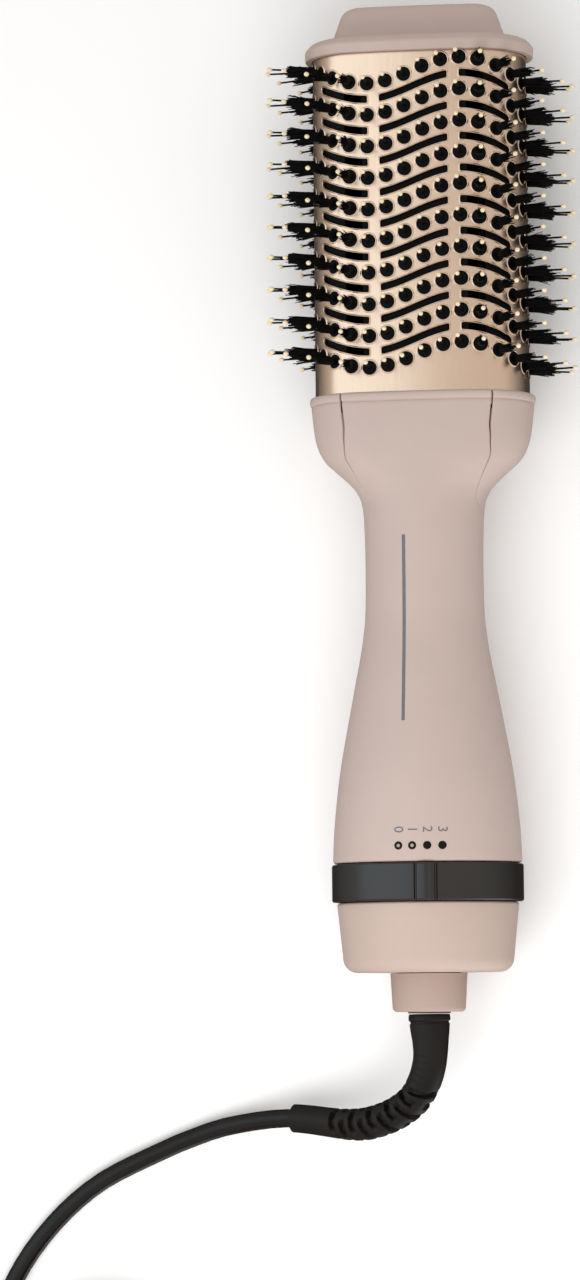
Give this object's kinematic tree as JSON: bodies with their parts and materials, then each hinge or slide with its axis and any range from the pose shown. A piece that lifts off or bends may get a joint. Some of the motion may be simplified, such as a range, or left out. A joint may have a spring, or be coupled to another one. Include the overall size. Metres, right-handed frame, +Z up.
{
  "type": "hot air brush",
  "caption": "Oval hot air brush: perforated metal barrel with wavy rows of tufts and pins, waisted handle, rotary selector ring and a swivelling mains lead.",
  "frame": {"origin": "on the table under the middle of the brush's body, with the brush lying on its back; the free lead isn't counted", "axes": "+Z up, which is the brush's front face; +Y along the brush towards its tip; +X to the right seen from the front"},
  "size_m": [0.2203, 0.5546, 0.0678],
  "materials": {
    "shell_taupe": "soft-touch matte taupe",
    "shell_rose": "soft-touch matte rose taupe",
    "barrel_metal": "satin champagne anodised",
    "bristle_nylon": "black nylon",
    "black_plastic": "matte black",
    "black_gloss": "satin black with soft highlights",
    "grey_plastic": "moulded grey",
    "mica": "pressed mica sheet",
    "resistance_wire": "bare resistance wire",
    "steel": "plain steel",
    "plug_metal": "nickel-plated brass",
    "circuit_board": "green solder mask",
    "ceramic": "white ceramic",
    "filter_mesh": "fine woven mesh",
    "black_rubber": "matte black PVC and rubber"
  },
  "bodies": {
    "body": {"end_cap": "shell_taupe", "barrel": "barrel_metal", "front_pin_strip": "bristle_nylon", "rear_pin_strip": "bristle_nylon", "left_tuft_strip": "bristle_nylon", "right_tuft_strip": "bristle_nylon", "left_bristle_field": "bristle_nylon", "right_bristle_field": "bristle_nylon", "head_frame": "grey_plastic", "heater_shroud": "mica", "heater_board_a": "mica", "heater_board_b": "mica", "heating_coil": "resistance_wire", "thermostat": "ceramic", "thermal_fuse": "steel", "heater_base": "ceramic", "front_shell": "shell_rose", "rear_shell": "shell_rose", "left_neck_insert": "shell_rose", "right_neck_insert": "shell_rose", "motor_mount": "black_plastic", "motor": "steel", "motor_screw_left": "steel", "motor_screw_right": "steel", "mode_switch": "black_plastic", "control_board": "circuit_board", "detent_spring": "steel", "base_cap": "shell_rose", "intake_filter": "filter_mesh", "cord_boss": "shell_taupe", "heater_lead_left": "black_rubber", "heater_lead_right": "black_rubber", "supply_lead_left": "black_rubber", "supply_lead_right": "black_rubber"},
    "selector": {"selector_ring": "black_gloss", "ring_driver": "black_plastic"},
    "slider": {"switch_slider": "ceramic"},
    "fan": {"motor_shaft": "steel", "fan_impeller": "grey_plastic"},
    "lead": {"swivel_ferrule": "black_plastic", "strain_relief": "black_rubber", "cord_tube": "black_rubber", "cord_coil": "black_rubber", "cord_tail": "black_rubber", "plug_body": "black_rubber", "plug_pin_left": "plug_metal", "plug_pin_right": "plug_metal"}
  },
  "joints": [
    {"name": "selector_turn", "type": "hinge", "parent": "body", "child": "selector", "pos_m": [0, -0.1324, 0.0335], "axis": [0, 1, 0], "range_deg": [-17.7, 8.85]},
    {"name": "switch_slide", "type": "slide", "parent": "body", "child": "slider", "axis": [1, 0, 0], "range_m": [-0.0069, 0.0035]},
    {"name": "fan_spin", "type": "hinge", "parent": "body", "child": "fan", "pos_m": [0, -0.107, 0.0335], "axis": [0, 1, 0], "continuous": true},
    {"name": "cord_swivel", "type": "hinge", "parent": "body", "child": "lead", "pos_m": [0, -0.165, 0.0335], "axis": [0, 1, 0], "continuous": true}
  ],
  "couplings": [
    {"joint": "switch_slide", "follows": "selector_turn", "m_per_rad": 0.0219}
  ]
}
